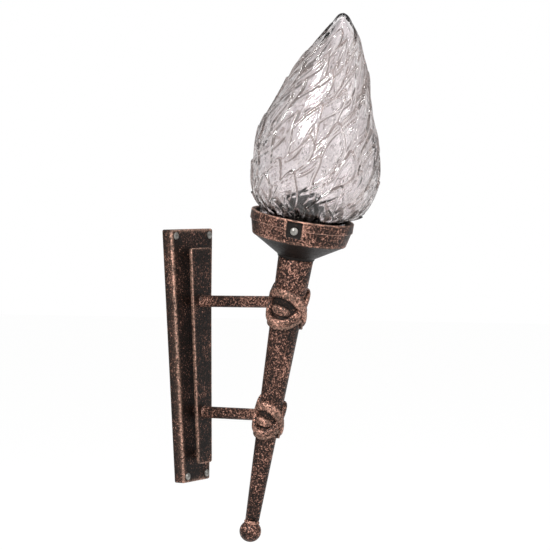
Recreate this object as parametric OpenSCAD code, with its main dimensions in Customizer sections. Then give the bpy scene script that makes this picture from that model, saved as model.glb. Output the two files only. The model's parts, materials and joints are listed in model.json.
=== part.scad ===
// Torch sconce: a wall light in the form of a tapered torch with a glass flame.
// Millimetres. The origin is on the wall plane, at the middle of the wall bracket.
// +Z is up, the wall is the plane y = 0, and the light stands out along -Y.
// Lengths along the torch are counted from the centre of its ball, up its axis.

/* [Back plate] */
// Width of the back plate at its top
plate_top_w = 76; // [70:1:100]
// Width of the back plate at its bottom
plate_bottom_w = 48.5; // [46:0.5:70]
// Height of the back plate
plate_h = 277.5; // [260:0.5:320]
// How far the plate's front face stands off the wall
plate_depth = 12.5; // [12:0.5:20]
// Sheet thickness of the back plate
plate_sheet = 1.5; // [1:0.1:2]
// Rounding of the plate's front edges
plate_edge_r = 2.5; // [2:0.5:3.5]
// Distance of the corner screws from the plate's edges
plate_screw_inset = 7.2; // [7:0.2:9]

/* [Wall bracket] */
// Width of the bracket's upright
bracket_w = 26; // [24:1:30]
// Thickness of the bracket's steel
bracket_t = 2; // [1.5:0.5:2.5]
// Height of the bracket's crossbars
crossbar_h = 9; // [8.5:0.5:10]
// Radius of the posts that take the corner screws
post_r = 3.6; // [3.2:0.1:4]
// Distance between the two wall holes
wall_hole_pitch = 180; // [170:1:190]
// Radius of the wall holes
wall_hole_r = 2.6; // [2.2:0.1:3.2]
// Radius of the hole for the supply cable
cable_hole_r = 8; // [6:0.5:9]
// Height of the cable hole's centre
cable_hole_z = -42; // [-44:1:-40]

/* [Front strap] */
// Width of the front strap at its top
strap_top_w = 36.5; // [30:0.5:44]
// Width of the front strap at its bottom
strap_bottom_w = 24; // [20:0.5:30]
// Height of the front strap
strap_h = 236; // [228:1:250]
// Thickness of the front strap
strap_t = 4; // [3.5:0.5:6]
// Gap between the back plate and the strap
strap_gap = 8; // [5:0.5:12]
// Corner radius of the strap
strap_corner_r = 2.5; // [1:0.5:4]
// Distance of the strap's spacers from its ends
spacer_inset = 9; // [8:0.5:12]
// Radius of the end spacers
spacer_r = 4.5; // [4:0.5:5.5]

/* [Arms] */
// Radius of both arms
arm_r = 6.35; // [6.1:0.05:7]
// Radius of the arms' bore
arm_bore_r = 4.5; // [4:0.1:4.8]
// Height of the upper arm
upper_arm_z = 59.6; // [50:0.2:66]
// Height of the lower arm
lower_arm_z = -62.1; // [-66:0.1:-58]
// Depth of the thread in each arm's wall end
arm_thread_depth = 13; // [10:0.5:18]
// Radius of the sleeves between plate and strap
sleeve_r = 6; // [5.8:0.1:6.5]
// Thickness of the arm nuts
arm_nut_t = 4; // [3:0.5:4.5]
// Width of the arm nuts across their flats
arm_nut_af = 14; // [13:0.5:15]

/* [Torch] */
// Lean of the torch from upright, in degrees
torch_tilt = 12.5; // [10:0.5:15]
// Distance of the ball's centre from the wall
ball_out = 82.9; // [78:0.1:90]
// Height of the ball's centre
ball_z = -188.8; // [-194:0.2:-184]
// Length from the ball's centre to the seat of the cup
torch_len = 302.4; // [298:0.2:308]
// Diameter the taper would have at the ball's centre
tube_bottom_d = 14; // [13.6:0.1:16]
// Diameter of the torch tube at the cup
tube_top_d = 37.7; // [36:0.1:39]
// Wall of the torch tube
tube_wall = 1.5; // [1.2:0.1:1.8]
// Diameter of the ball
ball_d = 23.5; // [21:0.5:26]
// Radius of the hole that lets the wires into the torch tube
wire_hole_r = 4; // [3.5:0.1:4.4]

/* [Collars] */
// Height of the upper collar
upper_collar_h = 43.5; // [42:0.5:52]
// Height of the lower collar
lower_collar_h = 39; // [36:0.5:46]
// Width of a collar's crossing bands
band_w = 11; // [10:0.5:13]
// How far the bands stand off the torch tube
band_t = 6.8; // [5.5:0.1:7.5]
// Thickness of the sleeve under the bands
collar_sleeve_t = 2.6; // [2:0.1:3]
// Turn of the collars about the torch, in degrees
collar_turn = 195; // [185:1:205]
// How far a collar's middle lies below its arm
collar_drop = 4.5; // [3:0.5:7]
// Length of the oval boss in a collar's eye
bean_len = 19; // [16:0.5:20]
// Height of the oval boss
bean_h = 9.6; // [8:0.2:10]

/* [Gallery cup] */
// Outer diameter of the cup's raised rim
rim_d = 109.6; // [108:0.1:112]
// Diameter of the cup's band at its lower edge
cup_base_d = 101; // [99:0.5:104]
// Height of the cup's band, rim included
cup_band_h = 26.5; // [25:0.5:29]
// Height of the cone under the band
cup_cone_h = 19.4; // [18:0.2:22]
// Height of the raised ring round the rim
ring_h = 10.6; // [8:0.2:12]
// How far the raised ring stands proud of the band
ring_proud = 1.2; // [0.8:0.1:1.4]
// Wall of the cup
cup_wall = 2.8; // [2.5:0.1:3]
// Thickness of the cup's hub, where the centre nut clamps it
hub_t = 6; // [5:0.5:7]
// Turn of the first gallery screw about the torch, in degrees
gallery_turn = 206; // [200:1:212]
// Number of gallery screws
gallery_count = 3; // [3:1:3]
// Width of the recess round each gallery screw
pocket_w = 16; // [13:0.5:18]
// Height of that recess
pocket_h = 17; // [15:0.5:18]
// Land left between the rim and the recess
pocket_land = 1.8; // [1:0.2:2.4]
// Depth of the recess from the raised ring
pocket_depth = 3.6; // [3:0.1:3.8]
// Depth of a gallery screw's axis below the rim
gallery_screw_drop = 11.6; // [10:0.2:13]

/* [Glass flame] */
// Outer diameter of the glass neck
neck_d = 91; // [86:0.5:91.5]
// Thickness of the glass
glass_wall = 3.5; // [3:0.1:4.5]
// Height of the flame above the rim
flame_h = 216.5; // [200:0.5:230]
// Radius of the flame at its fullest
flame_r = 67; // [62:0.5:70]
// Sideways lean of the flame's tip
flame_lean = 12; // [6:0.5:14]
// Height of the flame tongues over the valleys between them
tongue_relief = 5; // [3:0.1:5.5]
// Depth of the valleys below the flame's outline
tongue_valley = 2.4; // [1.5:0.1:3]

/* [Lampholder] */
// Bore radius of the lampholder's screw shell
socket_r = 13.25; // [13.2:0.05:13.4]
// Length of the screw shell
socket_len = 26; // [24:1:28]
// Outer radius of the lampholder
holder_r = 20; // [19.5:0.5:21]
// Height of the lampholder's cap
holder_cap_h = 23; // [21:0.5:24]
// Height of the porcelain insert
insert_h = 12; // [11:0.5:13]

/* [Fasteners and wires] */
// Outer radius of the hollow threaded rods
nipple_r = 5; // [4.8:0.1:5]
// Bore radius of the hollow threaded rods
nipple_bore_r = 3.6; // [3.4:0.1:3.8]
// Thread radius of the corner, strap and gallery screws
screw_r = 2; // [1.8:0.1:2]
// Head radius of those screws
screw_head_r = 4; // [3.6:0.1:4]
// Head height of those screws
screw_head_h = 2.5; // [2:0.1:2.5]
// Radius of the insulated wires
wire_r = 1.1; // [0.9:0.1:1.1]

/* [Clearances] */
// Radial gap round threads and pressed-in pieces
fit_gap = 0.05; // [0.03:0.01:0.08]
// Radial gap round plain clearance holes
hole_gap = 0.2; // [0.1:0.05:0.25]
// Gap between the glass and what stands near it
glass_gap = 0.3; // [0.3:0.1:0.5]

/* [Hidden] */
$fn = 64;
far = 400;                                     // longer than anything a cutter goes through
eps = 0.01;                                    // lets a cutter run past a face

// Places along -Y
plate_inner_y = -(plate_depth - plate_sheet);
plate_face_y = -plate_depth;
strap_back_y = -(plate_depth + strap_gap);
strap_front_y = -(plate_depth + strap_gap + strap_t);

// Wall bracket and what stands on it
plate_screw_z = plate_h / 2 - plate_screw_inset;
earth_z = 10;                                  // height of the earth screw
block_z = -20;                                 // height of the terminal block's middle
block_size = [24, 8, 14];                      // terminal block, width, depth and height
way_pitch = 7.5;                               // distance between the block's ways
way_r = 1.7;                                   // bore of each way
block_screw_r = 1.5;                           // M3 screw that holds the block
block_screw_x = way_pitch / 2;
block_front_y = -(bracket_t + block_size[1]);
small_head_h = 0.9;                            // flat head of the block's screw
terminal_screw_r = 1.4;
terminal_screw_z = 4;                          // from the block's middle to its screws
earth_washer_t = 0.8;
earth_washer_r = 5;

// Strap and arms
spacer_z = strap_h / 2 - spacer_inset;
strap_thread_depth = strap_t - 0.8;            // blind, so that the face stays whole
arm_washer_t = 1;
arm_washer_r = 8.6;
nipple_proud = 0.8;                            // thread left past the arm nut
nipple_back_y = plate_inner_y + arm_washer_t + arm_nut_t + nipple_proud;
nipple_front_y = strap_front_y - (arm_thread_depth - 1);

// Torch
ball_r = ball_d / 2;
tube_start = ball_r + 1.2;                     // where the tube meets the ball's neck
stud_r = 3;                                    // stud of the ball
stud_len = 11;
plug_len = 14;
bush_len = 12;
bead_h = 1.2;                                  // bead under the cup
bead_proud = 0.8;

// Cup, all along the torch axis
rim_s = torch_len + cup_cone_h + cup_band_h;
band_s = rim_s - cup_band_h;
hub_s = torch_len + hub_t;
cup_ledge_s = band_s + cup_wall * 0.6;         // flat seat of the glass neck
band_top_r = rim_d / 2 - ring_proud;
band_low_r = cup_base_d / 2;
cup_corner_r = 3;                              // rounding under the band
seat_in_r = neck_d / 2 - glass_wall - 3;         // inner edge of the glass's seat
pocket_floor_r = rim_d / 2 - pocket_depth;
lug_in_r = neck_d / 2 + 1.5;                   // inner end of a screw's lug
gallery_screw_s = rim_s - gallery_screw_drop;
screw_tip_r = neck_d / 2 + glass_gap;
cup_washer_t = 1;
cup_washer_r = 9;
cup_nut_t = 4.5;

// Lampholder, all along the torch axis
holder_s = hub_s + cup_washer_t + cup_nut_t + 0.4;
holder_collar_r = 8.5;
holder_collar_h = 7;
nipple_low_s = torch_len - 10;
nipple_top_s = holder_s + holder_collar_h + 0.5;
holder_wall = 1.7;
insert_top_s = holder_s + holder_cap_h + 2;
insert_s = insert_top_s - insert_h;
insert_r = holder_r - holder_wall - fit_gap;
insert_neck_r = insert_r - 1.6;
insert_neck_h = 2;
shell_t = 0.6;
holder_body_s = holder_s + holder_cap_h;
holder_body_h = socket_len + insert_neck_h + 6;
contact_r = 4;
contact_t = 1;

function unit(v) = v / norm(v);
function plate_half_w(z) = (plate_bottom_w + (plate_top_w - plate_bottom_w) * (z / plate_h + 0.5)) / 2;
function tube_r(s) = (tube_bottom_d + (tube_top_d - tube_bottom_d) * s / torch_len) / 2;
function torch_y(z) = -(ball_out + (z - ball_z) * tan(torch_tilt));
function torch_s(z) = (z - ball_z) / cos(torch_tilt);

// The torch's own frame: its axis is Z and the ball's centre is the origin
module on_torch(s = 0) {
    translate([0, -ball_out, ball_z]) rotate([torch_tilt, 0, 0]) translate([0, 0, s]) children();
}

// Turns a shape drawn along +Z so that it runs out from the wall, along -Y, from y
module from_wall(x, y, z) {
    translate([x, y, z]) rotate([90, 0, 0]) children();
}

// A plain ring or tube along +Z
module ring(outer, inner, h) {
    difference() {
        cylinder(r = outer, h = h);
        translate([0, 0, -eps]) cylinder(r = inner, h = h + 2 * eps);
    }
}

// A screw with a slotted pan head: the head's underside is z = 0, the shank runs to -length
module pan_screw(shank_r, length, head_r, head_h) {
    difference() {
        union() {
            translate([0, 0, -length]) cylinder(r = shank_r, h = length + eps);
            rotate_extrude() intersection() {
                translate([0, head_h - head_r * 1.45]) circle(r = head_r * 1.45, $fn = 96);
                square([head_r, head_h]);
            }
        }
        translate([-head_r, -0.5, head_h - 1]) cube([2 * head_r, 1, 2]);
    }
}

// The torch tube's outer cone, grown by a gap, between two lengths along the torch
module tube_cone(from_s, to_s, grow = 0) {
    translate([0, 0, from_s])
        cylinder(r1 = tube_r(from_s) + grow, r2 = tube_r(to_s) + grow, h = to_s - from_s, $fn = 96);
}

// The four corners that the plate's screws pass through
module at_plate_screws() {
    for (side = [-1, 1], end = [-1, 1]) {
        z = end * plate_screw_z;
        x = side * (plate_half_w(z) - plate_screw_inset);
        translate([x, 0, z]) children();
    }
}

module wall_bracket() {
    color("silver") difference() {
        union() {
            translate([-bracket_w / 2, -bracket_t, -plate_screw_z])
                cube([bracket_w, bracket_t, 2 * plate_screw_z]);
            for (end = [-1, 1]) {
                half = plate_half_w(end * plate_screw_z) - plate_screw_inset + post_r;
                translate([-half, -bracket_t, end * plate_screw_z - crossbar_h / 2])
                    cube([2 * half, bracket_t, crossbar_h]);
            }
            at_plate_screws() from_wall(0, 0, 0) cylinder(r = post_r, h = -plate_inner_y);
        }
        at_plate_screws() from_wall(0, far / 2, 0) cylinder(r = screw_r + fit_gap, h = far);
        for (end = [-1, 1])
            from_wall(0, far / 2, end * wall_hole_pitch / 2) cylinder(r = wall_hole_r, h = far);
        from_wall(0, far / 2, cable_hole_z) cylinder(r = cable_hole_r, h = far);
        from_wall(0, far / 2, earth_z) cylinder(r = screw_r + fit_gap, h = far);
        from_wall(block_screw_x, far / 2, block_z) cylinder(r = block_screw_r + fit_gap, h = far);
    }
}

// Outline of the plate, a tapered oblong with rounded corners, shrunk by inset
function plate_loop(inset, corner_r, y) = [
    for (corner = [0:3], a = [0:22.5:90])
        let (turn = 90 * corner + a, end = corner < 2 ? 1 : -1,
             side = corner == 0 || corner == 3 ? 1 : -1)
            [side * (plate_half_w(end * plate_h / 2) - inset - corner_r) + corner_r * cos(turn),
             y, end * (plate_h / 2 - inset - corner_r) + corner_r * sin(turn)]
];

// The outlines from the face to the wall, round the front edge
function pan_loops(inset, depth, edge_r) = concat(
    [for (a = [90:-22.5:0])
        plate_loop(inset + edge_r * (1 - cos(a)), max(edge_r * cos(a), 0.05),
                   -depth + edge_r * (1 - sin(a)))],
    [plate_loop(inset, edge_r, 0)]
);

// Pressed sheet with its edge turned back to the wall
module pan() {
    inner = pan_loops(plate_sheet, plate_depth - plate_sheet, plate_edge_r - plate_sheet / 2);
    loops = concat(pan_loops(0, plate_depth, plate_edge_r),
                   [for (i = [len(inner) - 1:-1:0]) inner[i]]);
    count = len(loops[0]);
    points = [for (loop = loops, p = loop) p];
    sides = [
        for (i = [0:len(loops) - 2], k = [0:count - 1])
            let (m = (k + 1) % count)
                [i * count + k, i * count + m, (i + 1) * count + m, (i + 1) * count + k]
    ];
    caps = [[for (k = [count - 1:-1:0]) k],
            [for (k = [0:count - 1]) (len(loops) - 1) * count + k]];
    polyhedron(points, concat(sides, caps), convexity = 6);
}

module back_plate() {
    color("saddlebrown") difference() {
        pan();
        at_plate_screws() from_wall(0, far / 2, 0) cylinder(r = screw_r + hole_gap, h = far);
        for (end = [-1, 1])
            from_wall(0, far / 2, end * spacer_z) cylinder(r = screw_r + hole_gap, h = far);
        for (z = [upper_arm_z, lower_arm_z])
            from_wall(0, far / 2, z) cylinder(r = nipple_r + hole_gap, h = far);
    }
}

module plate_screws() {
    color("gainsboro") at_plate_screws()
        from_wall(0, plate_face_y, 0)
            pan_screw(screw_r, -plate_face_y - bracket_t - 1, screw_head_r, screw_head_h);
}

// Flat strap that narrows downwards, standing in front of the plate
module front_strap() {
    top = strap_top_w / 2 - strap_corner_r;
    low = strap_bottom_w / 2 - strap_corner_r;
    z = strap_h / 2 - strap_corner_r;
    color("saddlebrown") difference() {
        translate([0, strap_back_y, 0]) rotate([90, 0, 0]) linear_extrude(strap_t) hull()
            for (corner = [[-low, -z], [low, -z], [top, z], [-top, z]])
                translate(corner) circle(r = strap_corner_r, $fn = 24);
        for (z = [upper_arm_z, lower_arm_z])
            from_wall(0, far / 2, z) cylinder(r = nipple_r + hole_gap, h = far);
        for (end = [-1, 1])
            from_wall(0, strap_back_y + eps, end * spacer_z)
                cylinder(r = screw_r + fit_gap, h = strap_thread_depth);
    }
}

// Two spacers near the strap's ends, and two wider sleeves round the arms' threads
module strap_spacers() {
    color("saddlebrown") {
        for (end = [-1, 1])
            from_wall(0, plate_face_y, end * spacer_z)
                ring(spacer_r, screw_r + hole_gap, strap_gap);
        for (z = [upper_arm_z, lower_arm_z])
            from_wall(0, plate_face_y, z) ring(sleeve_r, nipple_r + hole_gap, strap_gap);
    }
}

// Screws from behind the plate, through the spacers and into the strap
module strap_screws() {
    color("silver") for (end = [-1, 1])
        translate([0, plate_inner_y, end * spacer_z]) rotate([-90, 0, 0])
            pan_screw(screw_r, plate_sheet + strap_gap + strap_thread_depth - 0.5,
                      screw_head_r, screw_head_h);
}

// A tube from the strap to the torch, threaded at the wall end and cut to the torch tube's side
module arm(z) {
    color("saddlebrown") difference() {
        from_wall(0, strap_front_y, z) cylinder(r = arm_r, h = strap_front_y - torch_y(z));
        from_wall(0, strap_front_y + eps, z) cylinder(r = nipple_r + fit_gap, h = arm_thread_depth);
        from_wall(0, strap_front_y, z) cylinder(r = arm_bore_r, h = far);
        on_torch() tube_cone(0, torch_len, fit_gap);
    }
}

module upper_arm() arm(upper_arm_z);
module lower_arm() arm(lower_arm_z);

// Hollow threaded rods that hold the arms to the plate and lead the wires through it
module arm_nipples() {
    color("goldenrod") for (z = [upper_arm_z, lower_arm_z])
        from_wall(0, nipple_back_y, z) ring(nipple_r, nipple_bore_r, nipple_back_y - nipple_front_y);
}

module arm_washers() {
    color("silver") for (z = [upper_arm_z, lower_arm_z])
        from_wall(0, plate_inner_y + arm_washer_t, z)
            ring(arm_washer_r, nipple_r + hole_gap, arm_washer_t);
}

module arm_nuts() {
    color("goldenrod") for (z = [upper_arm_z, lower_arm_z])
        from_wall(0, plate_inner_y + arm_washer_t + arm_nut_t, z) hex_nut(arm_nut_t);
}

// Hexagon nut for the hollow threaded rods
module hex_nut(h) {
    difference() {
        cylinder(d = arm_nut_af / cos(30), h = h, $fn = 6);
        translate([0, 0, -eps]) cylinder(r = nipple_r + fit_gap, h = h + 2 * eps);
    }
}

crossings = [-170, -95, 77, 190];              // where the strands cross, from the collar's turn
eye_rise = [1.25, 1, 1];                       // height of each eye: the arm goes through the first
eye_bosses = [-5, 132];                        // turn of the bosses in the other two

// Half the distance between the two strands of a collar's braid: they cross three times
function strand_gap(a, wave) =
    let (b = ((a - collar_turn - crossings[0]) % 360 + 360) % 360 + crossings[0],
         eye = b < crossings[1] ? 0 : b < crossings[2] ? 1 : 2,
         share = (b - crossings[eye]) / (crossings[eye + 1] - crossings[eye]))
        wave * eye_rise[eye] * sin(180 * share);

row_step = 0.15;                               // keeps the braid's rows apart at a crossing

// Rows of the braid's outer face, as [distance from its strand's middle, standing height]
band_rows = [[0.5, 0.55], [0.3, 0.93], [0, 1], [-0.3, 0.93], [-0.5, 0.55],
             [-0.5, collar_sleeve_t / band_t]];

// Standing height of a strand at a distance from its middle
function band_rise(p) = lookup(abs(p), [[0, 1], [0.3, 0.93], [0.5, 0.55]]);

// Two strands braided round the torch tube, as one ring
module braid(s, wave) {
    steps = 48;
    half = len(band_rows);
    outer = [
        for (i = [0:steps - 1])
            let (a = 360 * i / steps, gap = strand_gap(a, wave))
                [for (side = [1, -1], n = [0:half - 1])
                    let (k = side > 0 ? n : half - 1 - n, p = band_rows[k],
                         least = row_step * (half - k), lift = max(gap + p[0] * band_w, least),
                         rise = lift > least ? p[1] : max(p[1], band_rise((lift - gap) / band_w)),
                         z = s + side * lift, r = tube_r(z) + rise * band_t)
                        [r * cos(a), r * sin(a), z]]
    ];
    inner = [
        for (i = [0:steps - 1])
            let (a = 360 * i / steps, lift = strand_gap(a, wave) + band_w / 2)
                [for (side = [-1, 1])
                    let (z = s + side * lift, r = tube_r(z) - 1) [r * cos(a), r * sin(a), z]]
    ];
    points = [for (i = [0:steps - 1], p = concat(outer[i], inner[i])) p];
    count = 2 * half + 2;
    faces = [
        for (i = [0:steps - 1], k = [0:count - 1])
            let (j = (i + 1) % steps, m = (k + 1) % count)
                [i * count + k, j * count + k, j * count + m, i * count + m]
    ];
    polyhedron(points, faces, convexity = 6);
}

// A cast collar: a braid of two bands with an oval boss in each open eye
module collar(arm_z, height) {
    s = torch_s(arm_z) - collar_drop;
    wave = (height - band_w) / 2;
    color("saddlebrown") difference() {
        on_torch() difference() {
            union() {
                braid(s, wave);
                for (turn = eye_bosses) rotate(collar_turn + turn) collar_bean(s);
            }
            tube_cone(0, torch_len, fit_gap);
        }
        from_wall(0, 0, arm_z) cylinder(r = arm_r + fit_gap, h = -torch_y(arm_z));
    }
}

// The oval boss, lying across the torch on its +X side
module collar_bean(s) {
    reach = (bean_len - bean_h) / 2;
    hull() for (side = [-1, 1])
        translate([tube_r(s) + band_t - bean_h / 2 - 0.6, side * reach, s - 2 * side])
            sphere(d = bean_h, $fn = 20);
}

module upper_collar() collar(upper_arm_z, upper_collar_h);
module lower_collar() collar(lower_arm_z, lower_collar_h);

module torch_tube() {
    color("sienna") on_torch() difference() {
        tube_cone(tube_start, torch_len);
        tube_cone(tube_start - 1, torch_len + 1, -tube_wall);
        translate([0, 0, torch_s(upper_arm_z)]) rotate([-torch_tilt, 0, 0])
            rotate([-90, 0, 0]) cylinder(r = wire_hole_r, h = tube_top_d);
    }
}

// Threaded plug in the tube's lower end, which takes the ball's stud
module tube_plug() {
    color("goldenrod") on_torch() difference() {
        tube_cone(tube_start, tube_start + plug_len, -tube_wall - fit_gap);
        translate([0, 0, tube_start - eps]) cylinder(r = stud_r + fit_gap, h = plug_len + 2 * eps);
    }
}

module ball_finial() {
    neck_r = tube_r(tube_start);
    color("saddlebrown") on_torch() {
        rotate_extrude($fn = 96) {
            difference() {
                union() {
                    circle(r = ball_r, $fn = 96);
                    square([neck_r, tube_start]);
                    translate([0, tube_start - 3.4]) square([neck_r + 0.9, 1.6]);
                }
                translate([-far, -far / 2]) square(far);
            }
            square([stud_r, tube_start + stud_len]);
        }
    }
}

// Threaded bush brazed into the tube's top
module top_bush() {
    color("goldenrod") on_torch() difference() {
        tube_cone(torch_len - bush_len, torch_len, -tube_wall - fit_gap);
        translate([0, 0, torch_len - far / 2]) cylinder(r = nipple_r + fit_gap, h = far);
    }
}

module centre_nipple() {
    color("goldenrod") on_torch(nipple_low_s)
        ring(nipple_r, nipple_bore_r, nipple_top_s - nipple_low_s);
}

// Places a gallery screw's own frame: its axis is Z, and the torch's axis is at z = 0
module at_gallery_screw(index) {
    on_torch(gallery_screw_s) rotate([0, 90, gallery_turn + index * 360 / gallery_count]) children();
}

// The straight side of the cup's cone runs between these two points: radius, then length
cone_low = [tube_r(torch_len) + 2.5, torch_len + 3.2];
cone_high = [band_low_r - cup_corner_r * 0.55, band_s + cup_corner_r * 0.1];
function cone_s(r) =
    cone_low[1] + (r - cone_low[0]) * (cone_high[1] - cone_low[1]) / (cone_high[0] - cone_low[0]);

// Half section of the cup's outside: radius and length along the torch
function cup_outside() = concat(
    [[0, torch_len], [tube_r(torch_len) + bead_proud, torch_len],
     [tube_r(torch_len) + bead_proud, torch_len + bead_h], cone_low],
    [for (a = [-62:16:2])
        [band_low_r - cup_corner_r + cup_corner_r * cos(a), band_s + cup_corner_r * (1 + sin(a))]],
    [[band_top_r, rim_s - ring_h], [rim_d / 2, rim_s - ring_h + 0.6], [rim_d / 2, rim_s - 0.8],
     [rim_d / 2 - 0.8, rim_s], [0, rim_s]]
);

// Half section of the hollow inside it
function cup_inside() = [
    [0, hub_s], [tube_r(torch_len), hub_s], [seat_in_r, cone_s(seat_in_r) + cup_wall * 1.2],
    [seat_in_r, cup_ledge_s], [band_low_r - cup_wall, cup_ledge_s],
    [rim_d / 2 - cup_wall - 1, rim_s + eps], [0, rim_s + eps]
];

module gallery_cup() {
    color("saddlebrown") difference() {
        union() {
            on_torch() rotate_extrude($fn = 128) difference() {
                polygon(cup_outside());
                polygon(cup_inside());
            }
            on_torch() for (index = [0:gallery_count - 1])
                rotate(gallery_turn + index * 360 / gallery_count)
                    translate([lug_in_r, -pocket_w / 2 - 1.5, cup_ledge_s])
                        cube([pocket_floor_r - lug_in_r + 1, pocket_w + 3,
                              rim_s - cup_ledge_s - pocket_land]);
        }
        for (index = [0:gallery_count - 1]) {
            on_torch(rim_s - pocket_land - pocket_h)
                rotate(gallery_turn + index * 360 / gallery_count)
                    translate([pocket_floor_r, -pocket_w / 2, 0]) cube([20, pocket_w, pocket_h]);
            at_gallery_screw(index) cylinder(r = screw_r + fit_gap, h = rim_d);
        }
        on_torch(torch_len - far / 2) cylinder(r = nipple_r + hole_gap, h = far);
    }
}

module cup_washer() {
    color("silver") on_torch(hub_s) ring(cup_washer_r, nipple_r + hole_gap, cup_washer_t);
}

module cup_nut() {
    color("goldenrod") on_torch(hub_s + cup_washer_t) hex_nut(cup_nut_t);
}

module gallery_screw(index) {
    color("gainsboro") at_gallery_screw(index) translate([0, 0, pocket_floor_r])
        pan_screw(screw_r, pocket_floor_r - screw_tip_r, screw_head_r, screw_head_h);
}

// The flame's outline: share of its height, share of its fullest radius, share of its lean
flame_outline = [
    [0.005, 0.679, 0.00], [0.035, 0.800, 0.33], [0.090, 0.935, 0.40], [0.165, 0.990, 0.44],
    [0.255, 1.000, 0.43], [0.345, 0.975, 0.31], [0.440, 0.900, 0.22], [0.530, 0.773, 0.22],
    [0.625, 0.656, 0.32], [0.715, 0.554, 0.42], [0.810, 0.403, 0.55], [0.900, 0.255, 0.70],
    [0.960, 0.140, 0.66]
];

// A smooth curve through the outline's points, taken between points i and i + 1 at share t
function through(i, t) =
    let (last = len(flame_outline) - 1,
         a = flame_outline[max(i - 1, 0)], b = flame_outline[i],
         c = flame_outline[i + 1], d = flame_outline[min(i + 2, last)])
        b + t / 2 * ((c - a) + t * ((2 * a - 5 * b + 4 * c - d) + t * (3 * b - a - 3 * c + d)));

flame_turn = -55;                              // the side to which the flame leans
row_steps = 4;                                 // rows of points between two of the outline's
flame_rows = [
    for (i = [0:len(flame_outline) - 2], t = [0:1 / row_steps:0.99]) through(i, t),
    flame_outline[len(flame_outline) - 1]
];
sectors = 72;                                  // points of a ring
tip_lean = 0.6;                                // share of the lean at the tip
neck_land = 2;                                 // the neck stays round up to here below the rim

// Tiers of flame tongues: foot and tip as shares of the flame's height, number round the
// glass, angle of one tip, and how far its foot lies back round the glass
tongue_tiers = [
    [-0.055, 0.070, 18, 209, -15], [-0.050, 0.220, 10, 197, 26], [-0.010, 0.310, 10, 214, 36],
    [0.030, 0.400, 9, 203, 44], [0.080, 0.500, 8, 232, 50], [0.180, 0.585, 8, 207, 56],
    [0.270, 0.675, 7, 230, 60], [0.370, 0.755, 7, 209, 64], [0.470, 0.830, 6, 201, 68],
    [0.580, 0.895, 5, 236, 72], [0.690, 0.940, 4, 212, 74]
];

// 0 at low, 1 at high and an S-shaped rise between them
function ease(x, low, high) =
    let (t = min(max((x - low) / (high - low), 0), 1)) t * t * (3 - 2 * t);

tip_stagger = 0.023;                           // rise and fall of the tips within one tier
tongue_span = 216;                             // half widths of one tier's tongues, added up
edge_out = 0.5;                                // a tongue's rounded edge starts so far outside
edge_in = 3.5;                                 // and ends so far inside
root_share = 0.1;                              // relief of a tongue at its foot
tip_share = 0.7;                               // what it gains towards its tip
dome_share = 0.28;                             // what it gains in the middle of its width

// Height of one tongue at an angle a and a share of the flame's height, where the glass has
// radius r. It is a low dome that sweeps up round the glass and stands out towards its tip.
// The sines stagger the tips, turn each tongue a little and let its middle line waver.
function tongue(tier, k, a, share, r) =
    let (tip = tier[1] + tip_stagger * sin(137 * k + 360 * tier[1]),
         rest = min(max((tip - share) / (tip - tier[0]), 0), 1),
         middle = tier[3] + 360 * k / tier[2] + 5 * sin(97 * k + 360 * tier[0])
                  - tier[4] * pow(rest, 1.35) + 3 * sin(1240 * share + 115 * k),
         half = max(tongue_span / tier[2] * pow(rest, 0.55) * ease(rest, 1.1, 0.6), 0.1),
         away = ((a - middle + 180) % 360 + 360) % 360 - 180,
         inside = min((half - abs(away)) * PI / 180 * max(r, 4), (tip - share) * flame_h),
         dome = max(1 - pow(away / half, 2), 0))
        ease(inside, -edge_out, edge_in) * tongue_relief
        * (root_share + tip_share * (1 - rest) + dome_share * dome);

// The highest tongue at a point shows, and the valleys lie inside the outline. All of it
// fades out at the neck and at the tip.
function tongues(a, share, r) =
    (max([for (tier = tongue_tiers, k = [0:tier[2] - 1]) tongue(tier, k, a, share, r)])
     - tongue_valley) * ease(share, 0, 0.04) * ease(share, 0.985, 0.9) * ease(r, 2, 30);

// Height above the rim, radius and lean of one row of the glass, wall inside its outer face
function flame_level(row, inset) = [
    row[0] * (flame_h - inset), max(row[1] * flame_r - inset, 0.6), row[2] * flame_lean
];

// One ring of points, moulded or smooth
function flame_ring(level, moulded) = [
    for (i = [0:sectors - 1])
        let (a = 360 * i / sectors,
             r = level[1] + (moulded ? tongues(a, level[0] / flame_h, level[1]) : 0))
            [r * cos(a) + level[2] * cos(flame_turn),
             r * sin(a) + level[2] * sin(flame_turn), rim_s + level[0]]
];

function neck_ring(r, s) = flame_ring([s - rim_s, r, 0], false);

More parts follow.
